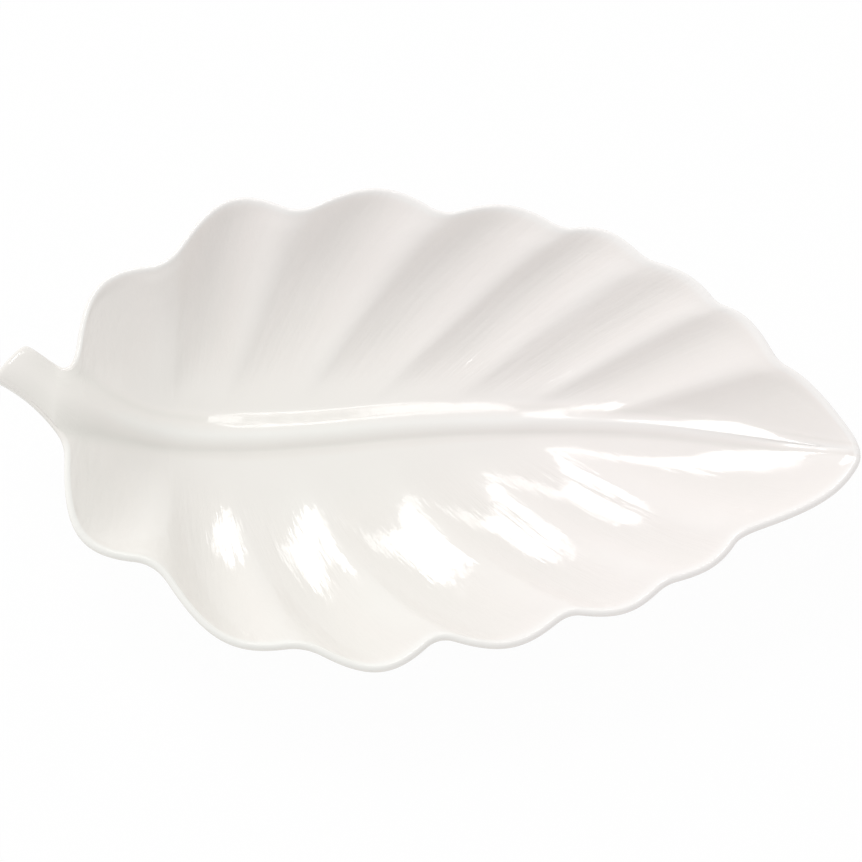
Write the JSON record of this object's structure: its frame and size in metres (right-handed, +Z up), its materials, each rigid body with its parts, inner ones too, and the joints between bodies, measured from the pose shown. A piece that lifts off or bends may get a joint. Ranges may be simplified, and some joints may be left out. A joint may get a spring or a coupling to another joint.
{
  "type": "leaf shaped serving plate",
  "caption": "Shallow serving plate shaped as a lobed leaf, with a raised midrib, fanned channels between its side veins, a rounded rim, a short stem lug and a foot ring underneath.",
  "frame": {"origin": "on the table plane, under the middle of the plate's bounding box", "axes": "+X along the midrib from the stem to the tip, +Z up out of the bowl, +Y to the side of the leaf that the stem swings towards"},
  "size_m": [0.296, 0.183, 0.0365],
  "materials": {
    "glaze": "glossy clear glaze over a white body",
    "bare_foot": "bare fired porcelain, smooth and matt"
  },
  "bodies": {
    "root": {"leaf_dish": "glaze", "stem_handle": "glaze", "foot_ring": "bare_foot"}
  },
  "joints": []
}
